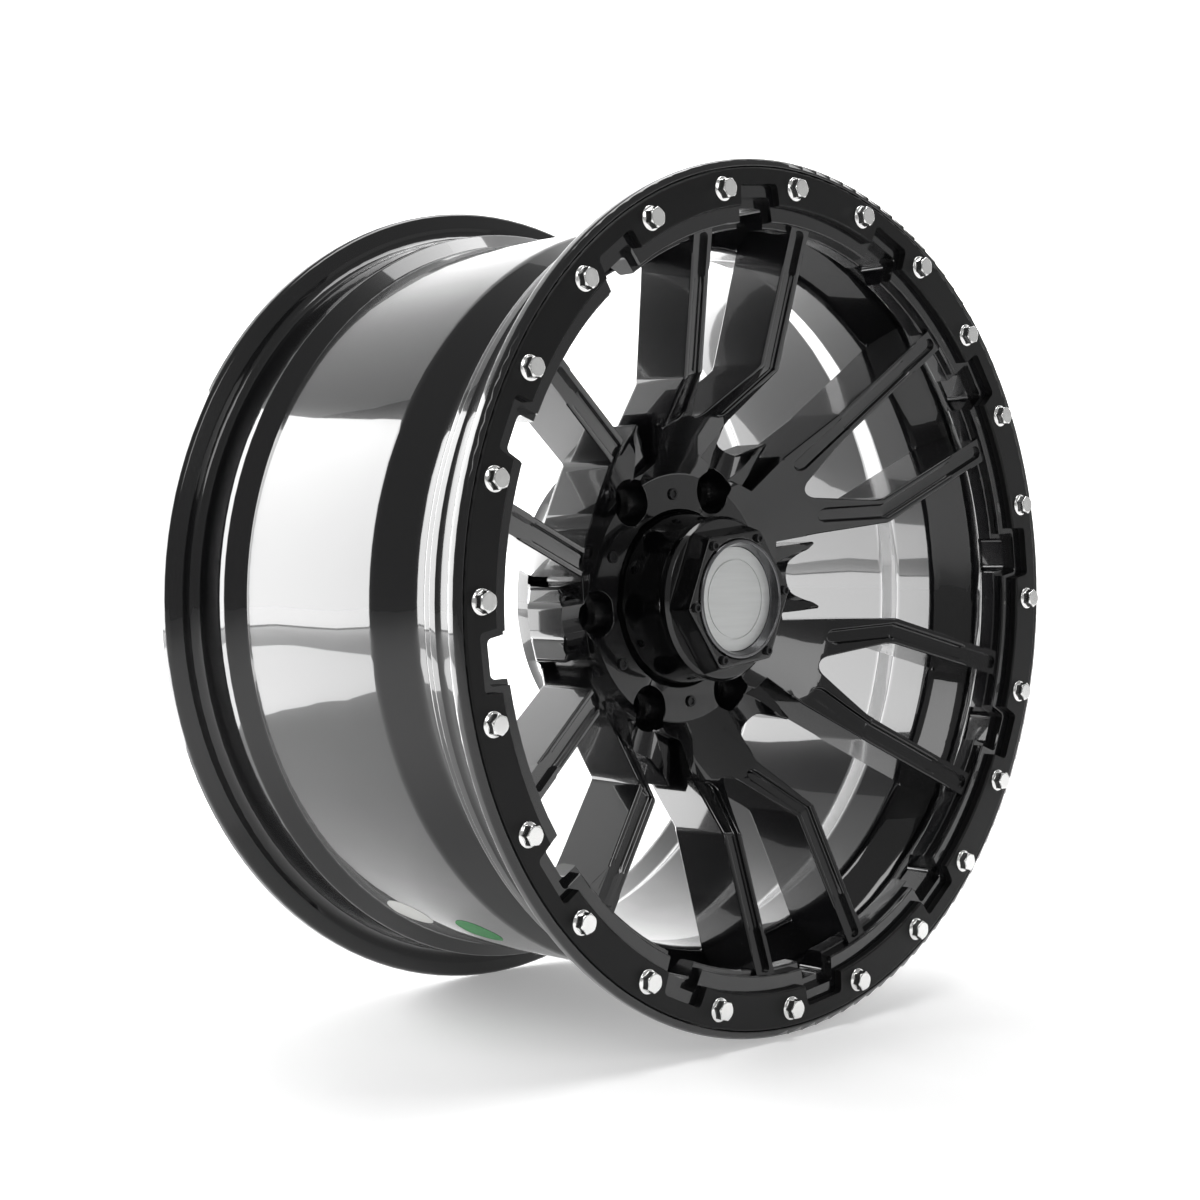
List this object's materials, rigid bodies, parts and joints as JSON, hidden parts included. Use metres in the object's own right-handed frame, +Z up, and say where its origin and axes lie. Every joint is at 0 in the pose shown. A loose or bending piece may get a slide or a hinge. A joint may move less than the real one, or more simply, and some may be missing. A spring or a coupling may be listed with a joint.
{
  "type": "alloy wheel",
  "caption": "Deep-dish off-road alloy wheel with forked spokes, a bolted trim ring, a drop-centre barrel and a tall push-through centre cap.",
  "frame": {"origin": "the middle of the mounting face, on the spin axis; with no offset this is also the middle of the rim's width", "axes": "the wheel spins about Y, +Y points inboard out of the mounting face, the street side faces -Y, +Z is up"},
  "size_m": [0.4966, 0.269, 0.4966],
  "materials": {
    "gloss_black_alloy": "cast alloy, gloss black lacquer",
    "satin_black_ring": "satin black powder coat",
    "bright_bolts": "bright plated",
    "cap_black": "gloss black moulded plastic",
    "bezel_dark": "smoked gloss plastic",
    "disc_silver": "brushed silver",
    "screw_black": "black oxide",
    "spring_wire": "plain spring steel"
  },
  "bodies": {
    "root": {"wheel": "gloss_black_alloy", "trim_ring": "satin_black_ring", "ring_bolts": "bright_bolts", "cap_body": "cap_black", "cap_crown": "cap_black", "cap_bezel": "bezel_dark", "cap_disc": "disc_silver", "cap_screws": "screw_black", "hub_screws": "screw_black", "cap_clip": "spring_wire"}
  },
  "joints": []
}
